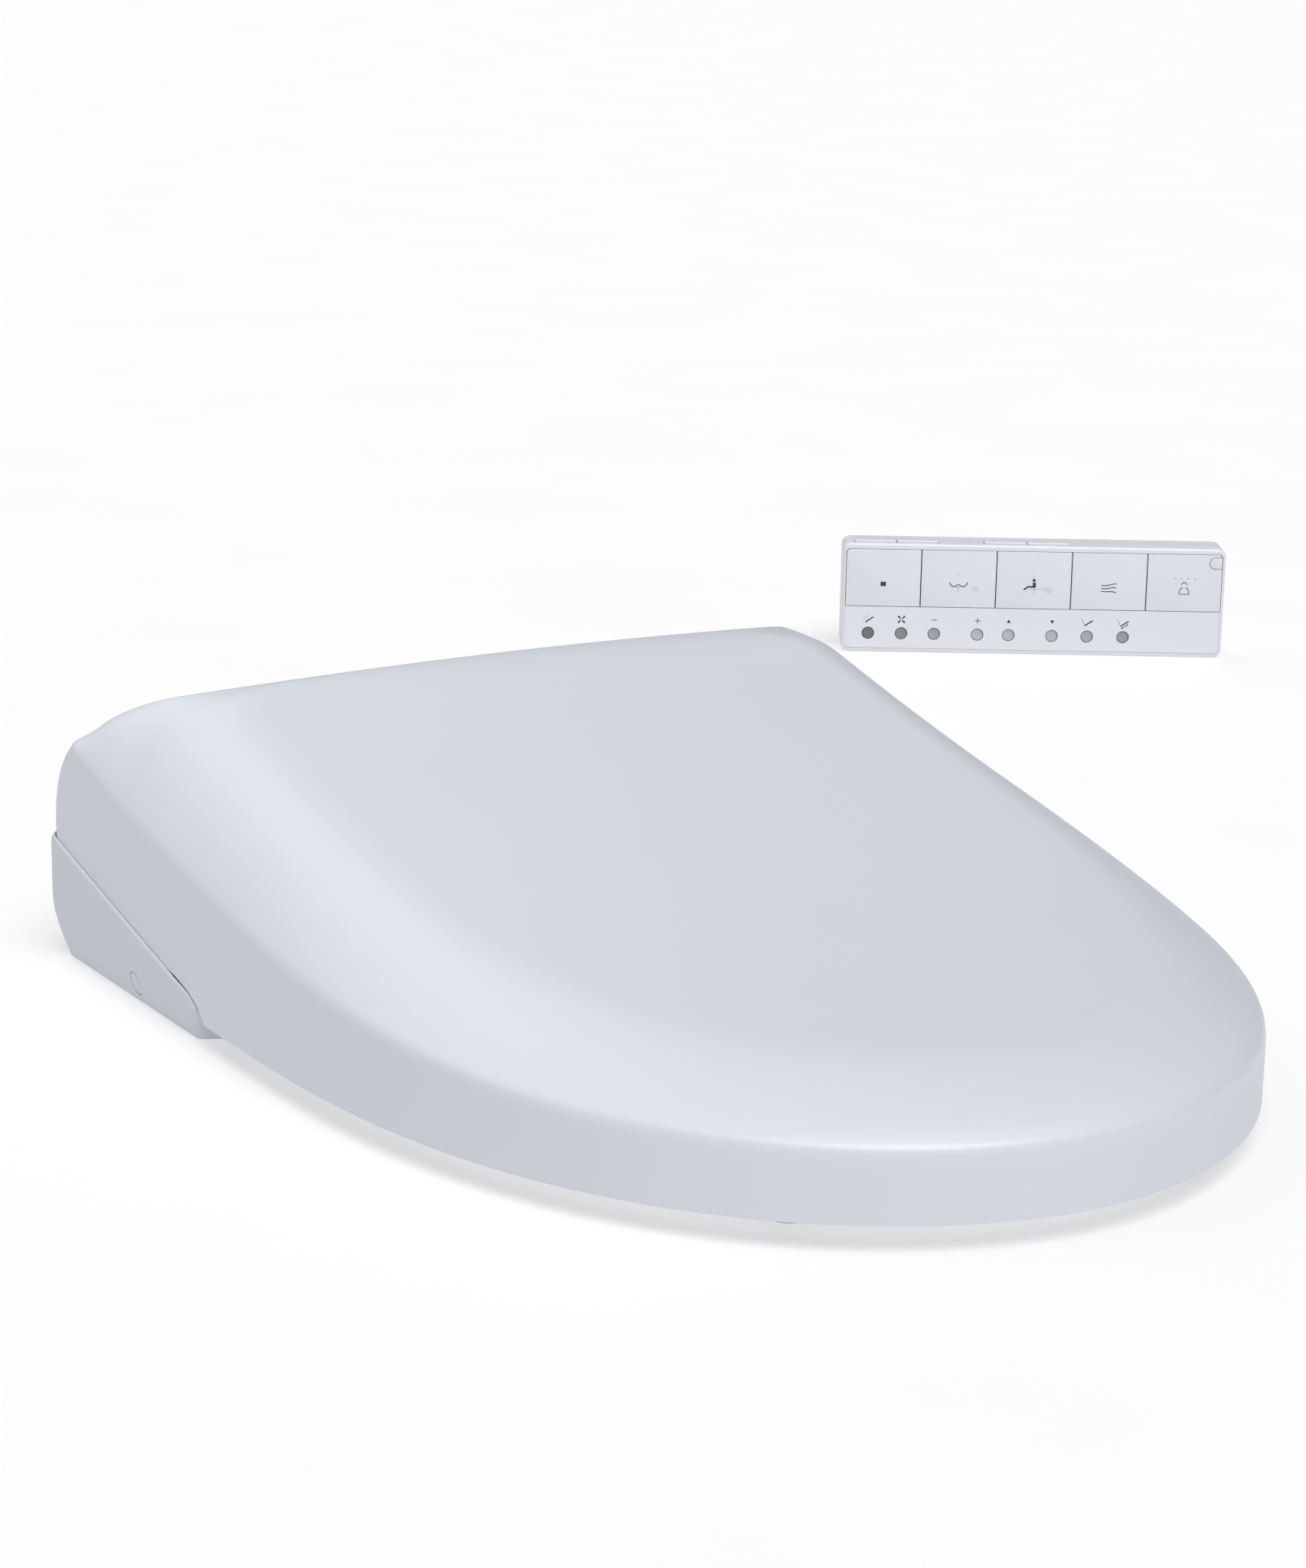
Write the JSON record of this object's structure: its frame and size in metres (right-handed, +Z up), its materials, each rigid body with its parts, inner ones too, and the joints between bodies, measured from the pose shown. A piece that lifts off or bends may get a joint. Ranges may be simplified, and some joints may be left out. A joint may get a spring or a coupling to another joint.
{
  "type": "electric bidet seat",
  "caption": "Round-front electric bidet seat with a one-piece lid over a low case, a heated seat ring, spray wand, air dryer and a free-standing remote control.",
  "frame": {"origin": "on the underside of the base plate, midway between its two bolts to the bowl", "axes": "+Z up, -Y to the front of the seat, +X to the right-hand side of someone who faces the seat from its front"},
  "size_m": [0.8419, 0.8253, 0.123],
  "materials": {
    "shell": "satin blue-white moulded plastic",
    "seat": "smooth white moulded plastic",
    "inner": "plain grey moulded plastic",
    "dark": "dark glossy plastic",
    "metal": "stainless steel",
    "board": "green circuit board",
    "rubber": "pale grey rubber",
    "key": "grey rubbery plastic",
    "cell": "dark sleeve of a dry cell"
  },
  "bodies": {
    "root": {"case_lower": "shell", "case_upper": "shell", "water_tank": "inner", "water_valve": "inner", "water_inlet": "metal", "power_gland": "dark", "dryer_fan_housing": "inner", "dryer_duct": "inner", "control_board": "board", "sensor_window": "dark", "seat_drive": "inner", "lid_drive": "inner", "hinge_shaft_left": "metal", "hinge_shaft_right": "metal", "nozzle_cradle": "inner", "nozzle_motor": "metal"},
    "mount_plate": {"base_plate": "inner", "plate_slider_left": "metal", "plate_slider_right": "metal"},
    "seat": {"seat_upper": "seat", "seat_lower": "seat", "seat_heater": "dark", "seat_bumper_rear_left": "rubber", "seat_bumper_rear_right": "rubber", "seat_bumper_front_left": "rubber", "seat_bumper_front_right": "rubber"},
    "lid": {"lid": "shell", "lid_bumper_left": "rubber", "lid_bumper_right": "rubber"},
    "nozzle": {"nozzle_wand": "shell", "nozzle_tip": "metal"},
    "impeller": {"dryer_impeller": "dark"},
    "flap": {"dryer_flap": "shell"},
    "filter": {"deodorizer_filter": "inner"},
    "drain": {"drain_plug": "shell"},
    "release": {"release_button": "shell"},
    "remote": {"remote_front": "shell", "remote_back": "shell", "remote_board": "board", "remote_ir_window": "shell", "battery_lower": "cell", "battery_upper": "cell"},
    "remote_cover": {"battery_cover": "shell"},
    "panel_1": {"panel_key_1": "shell"},
    "panel_2": {"panel_key_2": "shell"},
    "panel_3": {"panel_key_3": "shell"},
    "panel_4": {"panel_key_4": "shell"},
    "panel_5": {"panel_key_5": "shell"},
    "button_1": {"round_button_1": "key"},
    "button_2": {"round_button_2": "key"},
    "button_3": {"round_button_3": "key"},
    "button_4": {"round_button_4": "key"},
    "button_5": {"round_button_5": "key"},
    "button_6": {"round_button_6": "key"},
    "button_7": {"round_button_7": "key"},
    "button_8": {"round_button_8": "key"},
    "top_1": {"top_key_1": "shell"},
    "top_2": {"top_key_2": "shell"},
    "top_3": {"top_key_3": "shell"},
    "top_4": {"top_key_4": "shell"}
  },
  "joints": [
    {"name": "seat_hinge", "type": "hinge", "parent": "root", "child": "seat", "pos_m": [0, 0.025, 0.066], "axis": [-1, 0, 0], "range_deg": [0, 95]},
    {"name": "lid_hinge", "type": "hinge", "parent": "seat", "child": "lid", "pos_m": [0, 0.025, 0.066], "axis": [1, 0, 0], "range_deg": [-105, 0]},
    {"name": "nozzle_slide", "type": "slide", "parent": "root", "child": "nozzle", "axis": [0, -0.9063, -0.4226], "range_m": [0, 0.1]},
    {"name": "impeller_spin", "type": "hinge", "parent": "root", "child": "impeller", "pos_m": [0.0425, 0.028, 0.066], "axis": [1, 0, 0], "continuous": true},
    {"name": "dryer_flap_hinge", "type": "hinge", "parent": "root", "child": "flap", "pos_m": [0.043, -0.0637, 0.0098], "axis": [-1, 0, 0], "range_deg": [0, 60]},
    {"name": "filter_slide", "type": "slide", "parent": "root", "child": "filter", "axis": [0, 0, 1], "range_m": [0, 0.01]},
    {"name": "drain_plug_slide", "type": "slide", "parent": "root", "child": "drain", "axis": [-1, 0, 0], "range_m": [0, 0.015]},
    {"name": "release_button_press", "type": "slide", "parent": "root", "child": "release", "axis": [-1, 0, 0], "range_m": [0, 0.003], "stiffness_N_per_m": 400},
    {"name": "base_plate_slide", "type": "slide", "parent": "root", "child": "mount_plate", "axis": [0, 1, 0], "range_m": [0, 0.045]},
    {"name": "remote_lift", "type": "slide", "parent": "root", "child": "remote", "axis": [0, 0, 1], "range_m": [0, 0.15]},
    {"name": "battery_cover_slide", "type": "slide", "parent": "remote", "child": "remote_cover", "axis": [0.8462, -0.5329, 0], "range_m": [0, 0.03]},
    {"name": "panel_1_press", "type": "slide", "parent": "remote", "child": "panel_1", "axis": [0.5329, 0.8462, 0], "range_m": [0, 0.0008], "stiffness_N_per_m": 500},
    {"name": "panel_2_press", "type": "slide", "parent": "remote", "child": "panel_2", "axis": [0.5329, 0.8462, 0], "range_m": [0, 0.0008], "stiffness_N_per_m": 500},
    {"name": "panel_3_press", "type": "slide", "parent": "remote", "child": "panel_3", "axis": [0.5329, 0.8462, 0], "range_m": [0, 0.0008], "stiffness_N_per_m": 500},
    {"name": "panel_4_press", "type": "slide", "parent": "remote", "child": "panel_4", "axis": [0.5329, 0.8462, 0], "range_m": [0, 0.0008], "stiffness_N_per_m": 500},
    {"name": "panel_5_press", "type": "slide", "parent": "remote", "child": "panel_5", "axis": [0.5329, 0.8462, 0], "range_m": [0, 0.0008], "stiffness_N_per_m": 500},
    {"name": "button_1_press", "type": "slide", "parent": "remote", "child": "button_1", "axis": [0.5329, 0.8462, 0], "range_m": [0, 0.0012], "stiffness_N_per_m": 300},
    {"name": "button_2_press", "type": "slide", "parent": "remote", "child": "button_2", "axis": [0.5329, 0.8462, 0], "range_m": [0, 0.0012], "stiffness_N_per_m": 300},
    {"name": "button_3_press", "type": "slide", "parent": "remote", "child": "button_3", "axis": [0.5329, 0.8462, 0], "range_m": [0, 0.0012], "stiffness_N_per_m": 300},
    {"name": "button_4_press", "type": "slide", "parent": "remote", "child": "button_4", "axis": [0.5329, 0.8462, 0], "range_m": [0, 0.0012], "stiffness_N_per_m": 300},
    {"name": "button_5_press", "type": "slide", "parent": "remote", "child": "button_5", "axis": [0.5329, 0.8462, 0], "range_m": [0, 0.0012], "stiffness_N_per_m": 300},
    {"name": "button_6_press", "type": "slide", "parent": "remote", "child": "button_6", "axis": [0.5329, 0.8462, 0], "range_m": [0, 0.0012], "stiffness_N_per_m": 300},
    {"name": "button_7_press", "type": "slide", "parent": "remote", "child": "button_7", "axis": [0.5329, 0.8462, 0], "range_m": [0, 0.0012], "stiffness_N_per_m": 300},
    {"name": "button_8_press", "type": "slide", "parent": "remote", "child": "button_8", "axis": [0.5329, 0.8462, 0], "range_m": [0, 0.0012], "stiffness_N_per_m": 300},
    {"name": "top_1_press", "type": "slide", "parent": "remote", "child": "top_1", "axis": [0, 0, -1], "range_m": [0, 0.001], "stiffness_N_per_m": 400},
    {"name": "top_2_press", "type": "slide", "parent": "remote", "child": "top_2", "axis": [0, 0, -1], "range_m": [0, 0.001], "stiffness_N_per_m": 400},
    {"name": "top_3_press", "type": "slide", "parent": "remote", "child": "top_3", "axis": [0, 0, -1], "range_m": [0, 0.001], "stiffness_N_per_m": 400},
    {"name": "top_4_press", "type": "slide", "parent": "remote", "child": "top_4", "axis": [0, 0, -1], "range_m": [0, 0.001], "stiffness_N_per_m": 400}
  ]
}
